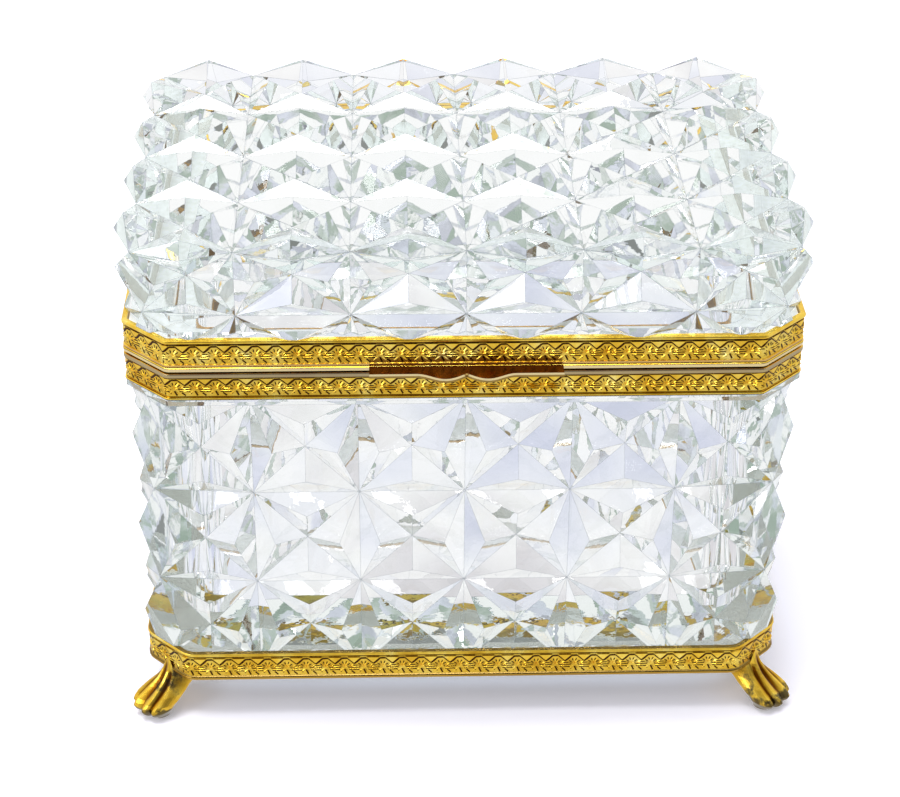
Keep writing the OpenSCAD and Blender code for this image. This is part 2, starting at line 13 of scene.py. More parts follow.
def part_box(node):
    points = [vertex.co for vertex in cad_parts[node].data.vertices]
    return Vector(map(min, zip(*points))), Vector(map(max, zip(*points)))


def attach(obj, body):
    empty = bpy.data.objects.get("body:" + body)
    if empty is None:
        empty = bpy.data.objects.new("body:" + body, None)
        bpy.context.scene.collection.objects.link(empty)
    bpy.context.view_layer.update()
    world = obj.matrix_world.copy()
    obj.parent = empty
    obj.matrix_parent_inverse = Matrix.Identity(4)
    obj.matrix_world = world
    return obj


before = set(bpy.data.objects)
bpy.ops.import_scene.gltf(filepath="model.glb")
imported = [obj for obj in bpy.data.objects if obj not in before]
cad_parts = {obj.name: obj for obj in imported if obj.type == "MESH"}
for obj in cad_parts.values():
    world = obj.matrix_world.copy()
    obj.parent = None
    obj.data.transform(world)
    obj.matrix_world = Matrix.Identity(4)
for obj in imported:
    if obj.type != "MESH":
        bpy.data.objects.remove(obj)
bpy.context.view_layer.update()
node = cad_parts
MM = 0.001

# %% [markdown]
# The camera looks slightly down on the front, a few degrees from straight on,
# through a long lens, so that the upright edges stay nearly parallel. Its turn
# is built from three angles, because they can be read and changed one by one,
# which a matrix of nine numbers can't.

# %% Camera
LENS_MM, SENSOR_MM = 92.0, 36.0
NEAREST = 10 * MM       # nearer things are cut off
PITCH, YAW, ROLL = (math.radians(a) for a in (30.163, 1.777, 0.304))
EYE = Vector((-16.94, -484.91, 338.02)) * MM

ahead = Vector((math.sin(YAW) * math.cos(PITCH), math.cos(YAW) * math.cos(PITCH),
                -math.sin(PITCH)))
level = Vector((math.cos(YAW), -math.sin(YAW), 0.0))
above = level.cross(ahead)
right = level * math.cos(ROLL) + above * math.sin(ROLL)
up = above * math.cos(ROLL) - level * math.sin(ROLL)

camera_data = bpy.data.cameras.new("camera")
camera_data.lens, camera_data.sensor_width, camera_data.clip_start = LENS_MM, SENSOR_MM, NEAREST
camera = bpy.data.objects.new("camera", camera_data)
turn = Matrix((right, up, -ahead)).transposed().to_4x4()
camera.matrix_world = Matrix.Translation(EYE) @ turn
bpy.context.scene.collection.objects.link(camera)
bpy.context.scene.camera = camera
bpy.context.scene.view_settings.view_transform = "Standard"
print("camera at", [round(v, 3) for v in EYE], "lens", LENS_MM, "mm")

# %% [markdown]
# Colours are written as sRGB hex values, as a paint chart gives them, and one
# function turns them into the linear values that shaders use. One more function
# adds a node with its settings and links, and every material below is made with
# it. A pattern's scale comes from the size in mm that one of its patches has.

# %% Colour and node helpers
def linear(hex_code, alpha=1.0):
    """sRGB hex to linear RGBA."""
    values = [int(hex_code[i:i + 2], 16) / 255 for i in (1, 3, 5)]
    return tuple(v / 12.92 if v <= 0.04045 else ((v + 0.055) / 1.055) ** 2.4
                 for v in values) + (alpha,)


def add(tree, kind, inputs=None, stops=(), **settings):
    """Adds a node. A value in inputs is a constant, or the output socket to link.

    stops are a colour ramp's places with their hex colours, and alphas if it has any."""
    made = tree.nodes.new(kind)
    for name, value in settings.items():
        setattr(made, name, value)
    for name, value in (inputs or {}).items():
        socket = made.inputs[name]
        if isinstance(value, bpy.types.NodeSocket):
            tree.links.new(value, socket)
        else:
            socket.default_value = value
    if stops:
        elements = made.color_ramp.elements
        while len(elements) < len(stops):
            elements.new(0.5)
        for element, (place, *colour) in zip(elements, stops):
            element.position, element.color = place, linear(*colour)
    return made


# A Mix node has sockets for every kind of data; these are the ones for colours.
FACTOR, FIRST, SECOND, MIXED = 0, 6, 7, 2


# %% Material helpers
def new_material(name):
    """An empty material and its node tree, ready for a shader."""
    made = bpy.data.materials.new(name)
    made.use_nodes = True
    made.node_tree.nodes.clear()
    return made, made.node_tree


def patches(size):
    """The scale of a noise on Object coordinates whose patches are size mm wide."""
    return 1 / (size * MM)


def dress(obj, material):
    """Gives a piece one material on all its faces."""
    obj.data.materials.clear()
    obj.data.materials.append(material)


print("white is", linear("#FFFFFF"), "and a patch of 5 mm needs a scale of", patches(5))

# %% [markdown]
# Clear glass shows nothing of its own: every facet is a window on the room. The
# room is a white cove with a grey side behind the camera, so that some facets
# turn pale lavender or grey, and the rest stay white. It could be built from
# walls and cards. A ramp over the world's directions does the same with no
# geometry. Light Path gives the camera plain white, and it shows the cove only
# to rays that a facet or the metal has turned.

# %% World
GREY_SIDE = (0.25, -0.93, 0.27)     # from the casket to behind the camera
FILL_STRENGTH = 0.75

world = bpy.data.worlds.new("studio")
world.use_nodes = True
bpy.context.scene.world = world
sky = world.node_tree
sky.nodes.clear()

path = add(sky, "ShaderNodeLightPath")
direction = add(sky, "ShaderNodeTexCoord").outputs["Generated"]
towards = add(sky, "ShaderNodeVectorMath", {0: direction, 1: GREY_SIDE},
              operation="DOT_PRODUCT").outputs["Value"]
seen = add(sky, "ShaderNodeValToRGB", {"Fac": towards},
           [(0.0, "#FFFFFF"), (0.45, "#F4F8FF"), (0.7, "#DDE2EE"), (0.88, "#A9ABB8"),
            (1.0, "#7D7C88")]).outputs["Color"]
cove = add(sky, "ShaderNodeBackground", {"Color": seen, "Strength": 1.0})
white = add(sky, "ShaderNodeBackground", {"Color": linear("#FFFFFF"), "Strength": 1.0})
fill = add(sky, "ShaderNodeBackground", {"Color": linear("#F6F6FF"), "Strength": FILL_STRENGTH})
mirrored = add(sky, "ShaderNodeMath",
               {0: path.outputs["Is Glossy Ray"], 1: path.outputs["Is Transmission Ray"]},
               operation="MAXIMUM")
lit = add(sky, "ShaderNodeMixShader", {0: mirrored.outputs[0], 1: fill.outputs[0],
                                       2: cove.outputs[0]})
final = add(sky, "ShaderNodeMixShader", {0: path.outputs["Is Camera Ray"], 1: lit.outputs[0],
                                         2: white.outputs[0]})
add(sky, "ShaderNodeOutputWorld", {"Surface": final.outputs[0]})
print("world:", len(sky.nodes), "nodes")

# %% [markdown]
# The casket stands on a sheet of white paper. One large square is enough, since
# the paper is flat. It takes the casket's shadow, and it turns to plain white
# with distance, so that no edge shows where it ends. Glass and metal see it in
# another way: as pale patches of light, because an even white floor would leave
# all the facets alike.

# %% Floor
FLOOR_HALF = 2.0        # metres
floor_mesh = bpy.data.meshes.new("floor")
floor_mesh.from_pydata([(-FLOOR_HALF, -FLOOR_HALF, 0), (FLOOR_HALF, -FLOOR_HALF, 0),
                        (FLOOR_HALF, FLOOR_HALF, 0), (-FLOOR_HALF, FLOOR_HALF, 0)],
                       [], [(0, 1, 2, 3)])
floor = bpy.data.objects.new("floor", floor_mesh)
bpy.context.scene.collection.objects.link(floor)
print("floor:", 2 * FLOOR_HALF, "m wide")

# %% Paper as the camera sees it
PAPER_GLOW = 0.2                # lifts the paper to white where no shadow falls
FADE_START, FADE_END = 0.4, 0.9     # metres from the casket

paper, tree = new_material("white_paper_sweep")
card = add(tree, "ShaderNodeBsdfDiffuse", {"Color": linear("#F3F2FA")})
glow = add(tree, "ShaderNodeEmission", {"Color": linear("#FFFFFF"), "Strength": PAPER_GLOW})
near_by = add(tree, "ShaderNodeAddShader", {0: card.outputs[0], 1: glow.outputs[0]})
path = add(tree, "ShaderNodeLightPath")
spot = add(tree, "ShaderNodeTexCoord").outputs["Object"]
reach = add(tree, "ShaderNodeVectorMath", {0: spot}, operation="LENGTH").outputs["Value"]
away = add(tree, "ShaderNodeMapRange", {"Value": reach, "From Min": FADE_START,
                                        "From Max": FADE_END}).outputs["Result"]
seen_away = add(tree, "ShaderNodeMath", {0: away, 1: path.outputs["Is Camera Ray"]},
                operation="MULTIPLY").outputs[0]
white = add(tree, "ShaderNodeEmission", {"Color": linear("#FFFFFF"), "Strength": 1.0})
plain = add(tree, "ShaderNodeMixShader", {0: seen_away, 1: near_by.outputs[0],
                                          2: white.outputs[0]})
print("paper turns white from", FADE_START, "to", FADE_END, "m")

# %% Paper as glass and metal see it
FLOOR_PATCH = 90.9              # mm, one pale patch
BEHIND_START, BEHIND_END = 60 * MM, 300 * MM    # the patches fade behind the casket
LAST_TINT = 0.85                # how far they have faded there

mirrored = add(tree, "ShaderNodeMath",
               {0: path.outputs["Is Glossy Ray"], 1: path.outputs["Is Transmission Ray"]},
               operation="MAXIMUM")
patch = add(tree, "ShaderNodeTexNoise", {"Vector": spot, "Scale": patches(FLOOR_PATCH),
                                         "Detail": 2.0})
tint = add(tree, "ShaderNodeValToRGB", {"Fac": patch.outputs["Fac"]},
           [(0.36, "#D4D8EC"), (0.45, "#F6F8FF"), (0.53, "#FFFFFF"),
            (0.64, "#DEDBDF")]).outputs["Color"]
back = add(tree, "ShaderNodeSeparateXYZ", {"Vector": spot}).outputs["Y"]
far = add(tree, "ShaderNodeMapRange", {"Value": back, "From Min": BEHIND_START,
                                       "From Max": BEHIND_END,
                                       "To Max": LAST_TINT}).outputs["Result"]
tint = add(tree, "ShaderNodeMix", {FACTOR: far, FIRST: tint, SECOND: linear("#FFFFFF")},
           data_type="RGBA").outputs[MIXED]
patchy = add(tree, "ShaderNodeEmission", {"Color": tint, "Strength": 1.0})
sweep = add(tree, "ShaderNodeMixShader", {0: mirrored.outputs[0], 1: plain.outputs[0],
                                          2: patchy.outputs[0]})
add(tree, "ShaderNodeOutputMaterial", {"Surface": sweep.outputs[0]})
dress(floor, paper)
print(paper.name, "nodes:", len(tree.nodes))

# %% [markdown]
# Two softboxes light the casket: a large one overhead, which draws the soft
# shadow under it, and a weak one at the left, which gives the metal a bright
# side. Area lamps are used because their edges make the shadows soft.

# %% Lamps
AIM = Vector((0, 0, 60 * MM))       # middle of the casket


def softbox(name, place, size, power):
    """A square area lamp, in metres and watts, that faces the casket."""
    data = bpy.data.lights.new(name, "AREA")
    data.size, data.energy = size, power
    made = bpy.data.objects.new(name, data)
    made.location = Vector(place)
    made.rotation_euler = (AIM - made.location).to_track_quat("-Z", "Y").to_euler()
    bpy.context.scene.collection.objects.link(made)
    print(name, "at", place, "power", power, "W")


softbox("overhead", (-0.12, 0.05, 0.95), 0.6, 9.5)
softbox("left_front", (-0.8, -0.5, 0.55), 0.4, 2.2)

# %% [markdown]
# Lead crystal: poured thick, then every facet is ground and polished flat. It
# bends light more than window glass, it is nearly colourless, and where it is
# thickest it turns a faint grey green. The facets are real faces of the solids,
# so a transmission shader bends what lies behind each of them by itself, and
# absorption in the volume gives the green where the way through is long. A
# picture of facets would have been quicker, and wrong from any other side.

# %% Lead crystal
CRYSTAL_IOR = 1.545
RIPPLE = 6.67           # mm, the last polishing leaves the faces a little wavy
RIPPLE_DEEP = 0.4 * MM
GREEN_DENSITY = 3.8     # per metre of glass

crystal, tree = new_material("lead_crystal_cut_and_polished")
place = add(tree, "ShaderNodeTexCoord").outputs["Object"]
ripple = add(tree, "ShaderNodeTexNoise", {"Vector": place, "Scale": patches(RIPPLE),
                                          "Detail": 3.0})
relief = add(tree, "ShaderNodeBump", {"Height": ripple.outputs["Fac"], "Strength": 0.08,
                                      "Distance": RIPPLE_DEEP})
glass = add(tree, "ShaderNodeBsdfPrincipled",
            {"Base Color": linear("#FFFFFF"), "Roughness": 0.0, "IOR": CRYSTAL_IOR,
             "Transmission Weight": 1.0, "Normal": relief.outputs["Normal"]})
depth = add(tree, "ShaderNodeVolumeAbsorption", {"Color": linear("#DAE8E2"),
                                                 "Density": GREEN_DENSITY})
print(crystal.name, "IOR", CRYSTAL_IOR)

# %% [markdown]
# A ray that bounces on and on between facets would end black. Real glass stays
# bright there, since light comes from all round, so after a few bounces the ray
# takes a pale colour that varies from place to place. Real glass also lets lamp
# light through to the cement and the floor. Tracing that light would need
# caustics. A clear, slightly grey shader for shadow and diffuse rays is enough.

# %% Deep bounces and light through the glass
LAST_BOUNCE = 5.5
DEEP_GLOW_PATCH = 14.3       # mm, one patch of that colour

trip = add(tree, "ShaderNodeLightPath")
deep = add(tree, "ShaderNodeMath", {0: trip.outputs["Ray Depth"], 1: LAST_BOUNCE},
           operation="GREATER_THAN")
# Painted light: from here a pale glow stands in for the light that deep bounces would gather.
shift = add(tree, "ShaderNodeTexNoise", {"Vector": place, "Scale": patches(DEEP_GLOW_PATCH),
                                         "Detail": 1.0})
dim = add(tree, "ShaderNodeValToRGB", {"Fac": shift.outputs["Fac"]},
          [(0.38, "#A9B8AC"), (0.48, "#C9D2CC"), (0.56, "#E4E6F4"), (0.66, "#C4C6D2")])
deep_bounce_glow = add(tree, "ShaderNodeEmission", {"Color": dim.outputs["Color"], "Strength": 1.0})
bright = add(tree, "ShaderNodeMixShader", {0: deep.outputs[0], 1: glass.outputs[0],
                                           2: deep_bounce_glow.outputs[0]})
unseen = add(tree, "ShaderNodeMath",
             {0: trip.outputs["Is Shadow Ray"], 1: trip.outputs["Is Diffuse Ray"]},
             operation="MAXIMUM")
clear = add(tree, "ShaderNodeBsdfTransparent", {"Color": linear("#DEE1E4")})
print("haze after", LAST_BOUNCE, "bounces")

# %% [markdown]
# The polisher's wheel leaves every cut's edge a little blunt, and the edge shows
# as a fine grey line. Here that line is painted: a flat grey glow stands in for
# the light and shade that a blunt edge bends. Bevelling the solids would round
# some thousand edges. The Bevel node finds the same edges while it renders:
# where its rounded normal leaves the face's own, there is an edge.

# %% Blunt edges of the cuts
EDGE = 0.16 * MM
EDGE_STARTS, EDGE_FULL = 0.999, 0.95    # cosine between the two normals
EDGE_SHARE = 0.85

rounded = add(tree, "ShaderNodeBevel", {"Radius": EDGE}, samples=4)
flat_face = add(tree, "ShaderNodeNewGeometry").outputs["True Normal"]
along = add(tree, "ShaderNodeVectorMath", {0: rounded.outputs[0], 1: flat_face},
            operation="DOT_PRODUCT").outputs["Value"]
edge = add(tree, "ShaderNodeMapRange", {"Value": along, "From Min": EDGE_STARTS,
                                        "From Max": EDGE_FULL,
                                        "To Max": EDGE_SHARE}).outputs["Result"]
# Painted edge line: a flat grey glow in place of the light that a blunt edge bends.
painted_edge_line = add(tree, "ShaderNodeEmission", {"Color": linear("#8F979F"), "Strength": 1.0})
cut = add(tree, "ShaderNodeMixShader", {0: edge, 1: bright.outputs[0], 2: painted_edge_line.outputs[0]})
whole = add(tree, "ShaderNodeMixShader", {0: unseen.outputs[0], 1: cut.outputs[0],
                                          2: clear.outputs[0]})
add(tree, "ShaderNodeOutputMaterial", {"Surface": whole.outputs[0], "Volume": depth.outputs[0]})
for name in ("glass_body", "glass_lid"):
    dress(node[name], crystal)
print(crystal.name, "nodes:", len(tree.nodes))

# %% [markdown]
# Fire-gilt brass: rolled or cast brass with a thin skin of gold. It is a rich
# yellow, a little orange where it is in shade. Lines of painted light and shade
# follow the mouldings of a band, which run level all round: painted shade in
# their steps and painted highlights where they stand out. So they are painted by
# height: a ramp over the height in the piece's own coordinates needs no seams, as
# an unwrapped picture would.

# %% Painted lines of light and shade round a band
LEVEL = 0.8             # a face counts as flat when its normal rises more than this
LINE_SHARE = 0.88       # how much of the gilding a painted line hides
MARGIN = 1.0            # mm of ramp under the first line and over the last


def light_and_shade_lines(tree, tone, height, facing, painted_lines):
    """Paints lines of light and shade on the upright faces.

    The list gives, from the bottom up, heights in mm and the colour painted from
    there on, or None for the plain gilding."""
    low, high = painted_lines[0][0] - MARGIN, painted_lines[-1][0] + MARGIN
    share = add(tree, "ShaderNodeMapRange", {"Value": height, "From Min": low * MM,
                                             "From Max": high * MM}).outputs["Result"]
    # The line colours are mostly painted highlights, reflections and shade on the mouldings.
    lines = add(tree, "ShaderNodeValToRGB", {"Fac": share},
                [((start - low) / (high - low), colour or "#FFFFFF", LINE_SHARE if colour else 0.0)
                 for start, colour in [(low, None)] + painted_lines])
    lines.color_ramp.interpolation = "CONSTANT"
    tilt = add(tree, "ShaderNodeMath", {0: facing}, operation="ABSOLUTE")
    upright = add(tree, "ShaderNodeMath", {0: tilt.outputs[0], 1: LEVEL}, operation="LESS_THAN")
    line_mask = add(tree, "ShaderNodeMath", {0: lines.outputs["Alpha"], 1: upright.outputs[0]},
               operation="MULTIPLY")
    return add(tree, "ShaderNodeMix", {FACTOR: line_mask.outputs[0], FIRST: tone,
                                       SECOND: lines.outputs["Color"]},
               data_type="RGBA").outputs[MIXED]


# %% [markdown]
# The flat faces of a band get colours of their own: a ledge is painted a duller
# gold, and the underside is painted dark, as painted shade. They are told apart by
# the direction of the normal. The base band's plate also looks up, but it lies
# under the glass and is painted a pale grey, a painted light for what shows there
# through the glass, so one colour can be kept inside a measured outline.

# %% Flat faces of a band
def within(tree, share, place, inside):
    """Keeps a share within half a width, half a depth and half of their sum, in metres."""
    apart = add(tree, "ShaderNodeVectorMath", {0: place}, operation="ABSOLUTE")
    side = add(tree, "ShaderNodeSeparateXYZ", {"Vector": apart.outputs[0]})
    both = add(tree, "ShaderNodeMath", {0: side.outputs["X"], 1: side.outputs["Y"]})
    for measure, reach in zip((side.outputs["X"], side.outputs["Y"], both.outputs[0]), inside):
        near = add(tree, "ShaderNodeMath", {0: measure, 1: reach}, operation="LESS_THAN")
        share = add(tree, "ShaderNodeMath", {0: share, 1: near.outputs[0]},
                    operation="MULTIPLY").outputs[0]
    return share


def flat_faces(tree, tone, facing, colour, limit=LEVEL, place=None, inside=None):
    """Paints the faces that look up, or those that look down if limit is negative."""
    side = "GREATER_THAN" if limit > 0 else "LESS_THAN"
    share = add(tree, "ShaderNodeMath", {0: facing, 1: limit}, operation=side).outputs[0]
    if inside:
        share = within(tree, share, place, inside)
    return add(tree, "ShaderNodeMix", {FACTOR: share, FIRST: tone, SECOND: linear(colour)},
               data_type="RGBA").outputs[MIXED]


# %% [markdown]
# A cast paw is gilt like the bands, but its creases are darkened as painted
# shade, and dark patches lie on its toes, more of them low down. Pointiness tells
# hollows from ridges, so the painted shade follows the shape.

# %% Creases and toes of a casting
# Painted shade: the hollows darken to near black, the ridges keep the gilding.
CREASES = [(0.43, "#1E1004"), (0.485, "#7E5820"), (0.505, "#D8D0BE"), (0.54, "#FFFFFF")]
TOE_LOW, TOE_HIGH = 1.5 * MM, 4.5 * MM      # the dark patches thin out between these heights
DARK_PATCH_LOW, DARK_PATCH_HIGH = 0.38, 0.57        # patches over this are darkened, low and high up
DARK_PATCH_EDGE = (-0.03, 0.05)     # how soft the patches' edges are
DARK_PATCH_SHARE = 0.9


def cast_creases(tree, tone, cloud, height):
    """Painted shade in the hollows, and dark patches on the toes."""
    edges = add(tree, "ShaderNodeNewGeometry").outputs["Pointiness"]
    hollow = add(tree, "ShaderNodeValToRGB", {"Fac": edges}, CREASES)
    tone = add(tree, "ShaderNodeMix", {FACTOR: 1.0, FIRST: tone, SECOND: hollow.outputs["Color"]},
               data_type="RGBA", blend_type="MULTIPLY").outputs[MIXED]
    # Dark patches on the toes, more of them low down.
    limit = add(tree, "ShaderNodeMapRange", {"Value": height, "From Min": TOE_LOW,
                                             "From Max": TOE_HIGH, "To Min": DARK_PATCH_LOW,
                                             "To Max": DARK_PATCH_HIGH})
    excess = add(tree, "ShaderNodeMath", {0: cloud, 1: limit.outputs["Result"]},
                 operation="SUBTRACT")
    dark_patch = add(tree, "ShaderNodeMapRange", {"Value": excess.outputs[0],
                                              "From Min": DARK_PATCH_EDGE[0],
                                              "From Max": DARK_PATCH_EDGE[1],
                                              "To Max": DARK_PATCH_SHARE})
    return add(tree, "ShaderNodeMix", {FACTOR: dark_patch.outputs["Result"], FIRST: tone,
                                       SECOND: linear("#42382A")},
               data_type="RGBA").outputs[MIXED]


# %% [markdown]
# The gilding itself varies in soft clouds, where the gold lies thicker or
# thinner, and it is roughest where it is thin. One function makes it for every
# piece, so that all the mounts look as if they came from one workshop, and adds
# the painted light and shade that a piece asks for.

# %% Gilt brass
GOLD = [(0.28, "#D8A62A"), (0.48, "#EFC442"), (0.62, "#F8D862"), (0.8, "#FFEE9C")]
CLOUD = 6.25            # mm, a patch of thicker or thinner gold
SMOOTHEST, ROUGHEST = 0.16, 0.34
POLISH_GRAIN = 0.556    # mm, drawn coarser than the real grain, so that it shows
CAST_GRAIN = 1.11       # mm, the same for the chaser's strokes, which run up the paw
STROKES = (1.0, 1.0, 0.3)
GRAIN_DEEP = 0.1 * MM


def gilding(name, shade_attribute=None, painted_lines=None, cast=False, ledge=None, top=None,
            under=None, inside=None):
    """Gilt brass. An attribute of 0 marks brown lines of painted shade, 1 the fully lit metal.

    The painted lines are as in the function above. ledge and top are colours painted on the
    faces that look up, with top only inside the outline where one is given, and under is
    the painted shade of those that look down."""
    made, tree = new_material(name)
    coords = add(tree, "ShaderNodeTexCoord")
    place = coords.outputs["Object"]
    cloud = add(tree, "ShaderNodeTexNoise", {"Vector": place, "Scale": patches(CLOUD),
                                             "Detail": 4.0, "Roughness": 0.6}).outputs["Fac"]
    tone = add(tree, "ShaderNodeValToRGB", {"Fac": cloud}, GOLD).outputs["Color"]
    rough = add(tree, "ShaderNodeMapRange", {"Value": cloud, "To Min": SMOOTHEST,
                                             "To Max": ROUGHEST})
    # Brown painted shade where the attribute is 0, for the frieze's lines.
    if shade_attribute:
        mark = add(tree, "ShaderNodeAttribute", attribute_name=shade_attribute).outputs["Fac"]
        tone = add(tree, "ShaderNodeMix", {FACTOR: mark, FIRST: linear("#4A2E0C"), SECOND: tone},
                   data_type="RGBA").outputs[MIXED]
    height = add(tree, "ShaderNodeSeparateXYZ", {"Vector": place}).outputs["Z"]
    facing = add(tree, "ShaderNodeSeparateXYZ", {"Vector": coords.outputs["Normal"]}).outputs["Z"]
    if painted_lines:
        tone = light_and_shade_lines(tree, tone, height, facing, painted_lines)
    if ledge:
        tone = flat_faces(tree, tone, facing, ledge)
    if top:
        tone = flat_faces(tree, tone, facing, top, place=place, inside=inside)
    # Painted shade on the faces that look down.
    if under:
        tone = flat_faces(tree, tone, facing, under, -LEVEL)
    if cast:
        tone = cast_creases(tree, tone, cloud, height)
        drawn = add(tree, "ShaderNodeVectorMath", {0: place, 1: STROKES}, operation="MULTIPLY")
        grain = add(tree, "ShaderNodeTexNoise", {"Vector": drawn.outputs[0],
                                                 "Scale": patches(CAST_GRAIN), "Detail": 2.0})
    else:
        grain = add(tree, "ShaderNodeTexNoise", {"Vector": place, "Scale": patches(POLISH_GRAIN),
                                                 "Detail": 2.0})
    relief = add(tree, "ShaderNodeBump", {"Height": grain.outputs["Fac"],
                                          "Strength": 0.5 if cast else 0.15,
                                          "Distance": GRAIN_DEEP})
    metal = add(tree, "ShaderNodeBsdfPrincipled",
                {"Base Color": tone, "Metallic": 1.0, "Roughness": rough.outputs["Result"],
                 "Normal": relief.outputs["Normal"]})
    add(tree, "ShaderNodeOutputMaterial", {"Surface": metal.outputs[0]})
    print(name, "nodes:", len(tree.nodes))
    return made


# %% [markdown]
# Each band gets its painted lines of light and shade, measured in mm from its own
# lower or upper edge: painted shade in the steps beside the ornament and along the
# seam under the lid, and painted highlights and a rosy painted reflection where a
# moulding stands out. The base band's lowest lines are only a duller gold. The
# heights are read from the imported solids, so that they move with them.

# %% Dress the bands
# A painted highlight, painted shade along the seam, painted shade in the steps, and a rosy painted
# reflection.
HIGHLIGHT, SEAM_SHADE, STEP_SHADE, ROSY_REFLECTION = "#E9D6A6", "#A8987A", "#3A220A", "#D2A868"
body_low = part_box("body_rim")[0].z / MM
body_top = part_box("body_rim")[1].z / MM
lid_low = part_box("lid_rim")[0].z / MM
lid_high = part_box("lid_rim")[1].z / MM
base_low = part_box("base_rim")[0].z / MM
base_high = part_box("base_rim")[1].z / MM

dress(node["lid_rim"], gilding("gilt_lid_rim", painted_lines=[
    (lid_low - 0.5, HIGHLIGHT), (lid_low + 0.8, STEP_SHADE), (lid_low + 1.3, ROSY_REFLECTION), (lid_low + 1.72, STEP_SHADE),
    (lid_low + 1.95, None), (lid_high - 1.5, STEP_SHADE), (lid_high - 0.95, None)]))
dress(node["body_rim"], gilding("gilt_body_rim", painted_lines=[
    (body_low - 0.5, STEP_SHADE), (body_low + 0.3, None), (body_low + 0.6, STEP_SHADE),
    (body_low + 0.9, None), (body_top - 1.45, STEP_SHADE), (body_top - 0.98, SEAM_SHADE)]))

# %% Dress the base band
PLATE_IN = 3.0 * MM     # from the band's outer faces to where the glass hides its plate
CORNER_IN = 1.4 * PLATE_IN      # the same at the cut corners, on the sum of both sides

base_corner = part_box("base_rim")[1]
base_points = [vertex.co for vertex in node["base_rim"].data.vertices]
plate = (base_corner.x - PLATE_IN, base_corner.y - PLATE_IN,
         max(abs(point.x) + abs(point.y) for point in base_points) - CORNER_IN)
# The base band: a duller ledge, a pale painted light on the plate under the glass, painted shade
# underneath and in the steps, and duller gold in its lowest lines.
dress(node["base_rim"], gilding(
    "gilt_base_rim", ledge="#967A3E", top="#D2D4C2", under="#4E3A18", inside=plate, painted_lines=[
        (base_low - 0.5, "#B8965A"), (base_low + 0.25, "#A8843A"), (base_low + 0.72, STEP_SHADE),
        (base_low + 1.1, None), (base_high - 1.25, STEP_SHADE), (base_high - 0.8, None)]))

# %% [markdown]
# The thumb lip's top is painted a dark orange brown, a painted reflection of the
# band above it. Its edge is painted pale in its upper half, a painted highlight,
# and brown in its lower half, a painted shadow line. The hinge leaves carry the
# plain gilding, and the paws the cast one.

# %% Dress the lip, the hinge leaves and the paws
lip_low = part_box("thumb_lip")[0].z / MM
# A painted reflection on the lip's top, and a painted shadow line under a painted highlight on its
# edge.
dress(node["thumb_lip"], gilding("gilt_lip_with_painted_reflection_and_shade", top="#925419", painted_lines=[
    (lip_low - 0.5, "#8C7140"), (lip_low + 0.5, HIGHLIGHT)]))

gilt = gilding("fire_gilt_brass")
for name in ("hinge_leaf_body", "hinge_leaf_lid"):
    dress(node[name], gilt)

paw_gilt = gilding("gilt_cast_paw_painted_shade_in_creases", cast=True)
for name in ("foot_front_left", "foot_front_right", "foot_rear_left", "foot_rear_right"):
    dress(node[name], paw_gilt)

# %% [markdown]
# Pins, studs and nuts are turned brass without gold: duller, stained in small
# spots. The locating strip inside the rim is brass too, and it has gone brown,
# since nobody polishes it. Both are plain metals with a higher roughness.

# %% Plain brass
STAIN = 2.5             # mm, a spot of tarnish

turned, tree = new_material("turned_brass")
place = add(tree, "ShaderNodeTexCoord").outputs["Object"]
stain = add(tree, "ShaderNodeTexNoise", {"Vector": place, "Scale": patches(STAIN), "Detail": 3.0})
tone = add(tree, "ShaderNodeValToRGB", {"Fac": stain.outputs["Fac"]},
           [(0.3, "#8A6A2C"), (0.7, "#C8A552")])
metal = add(tree, "ShaderNodeBsdfPrincipled", {"Base Color": tone.outputs["Color"],
                                               "Metallic": 1.0, "Roughness": 0.38})
add(tree, "ShaderNodeOutputMaterial", {"Surface": metal.outputs[0]})
for name in ("hinge_pin", "foot_studs", "foot_nuts"):
    dress(node[name], turned)

aged, tree = new_material("aged_brass_of_the_locating_strip")
metal = add(tree, "ShaderNodeBsdfPrincipled", {"Base Color": linear("#7E5F2C"), "Metallic": 1.0,
                                               "Roughness": 0.5})
add(tree, "ShaderNodeOutputMaterial", {"Surface": metal.outputs[0]})
dress(node["locating_strip"], aged)
print(turned.name, "and", aged.name)

# %% [markdown]
# White setting cement fills the bands under the glass, and it is seen through
# the bottom facets. It is matt and slightly grainy. The glass over it keeps part
# of the light away, more than real glass does, so the cement gives a little light
# of its own in return.

# %% Setting cement
CRUMB = 1.43            # mm, coarser than the real grit, so that it shows
CRUMB_DEEP = 0.2 * MM
CEMENT_LIGHT = 0.34

plaster, tree = new_material("white_setting_cement")
place = add(tree, "ShaderNodeTexCoord").outputs["Object"]
crumb = add(tree, "ShaderNodeTexNoise", {"Vector": place, "Scale": patches(CRUMB), "Detail": 4.0})
tone = add(tree, "ShaderNodeValToRGB", {"Fac": crumb.outputs["Fac"]},
           [(0.3, "#D2D2C8"), (0.7, "#ECECE6")])
relief = add(tree, "ShaderNodeBump", {"Height": crumb.outputs["Fac"], "Strength": 0.3,
                                      "Distance": CRUMB_DEEP})
matt = add(tree, "ShaderNodeBsdfPrincipled", {"Base Color": tone.outputs["Color"],
                                              "Roughness": 0.9,
                                              "Emission Color": linear("#E0E4E0"),
                                              "Emission Strength": CEMENT_LIGHT,
                                              "Normal": relief.outputs["Normal"]})
add(tree, "ShaderNodeOutputMaterial", {"Surface": matt.outputs[0]})
for name in ("body_bed", "lid_bed", "base_bed"):
    dress(node[name], plaster)
print("materials:", len(bpy.data.materials))

# %% [markdown]
# The friezes are rolled from a strip with a small motif that repeats all round: a
# palmette of leaves under an arch, and plain triangles between. A bump map would
# be flat from the side and lost in the export. So one motif is made as a few
# raised facets on a dark ground, and Geometry Nodes repeats it along a straight
# line and then bends the line round the band.

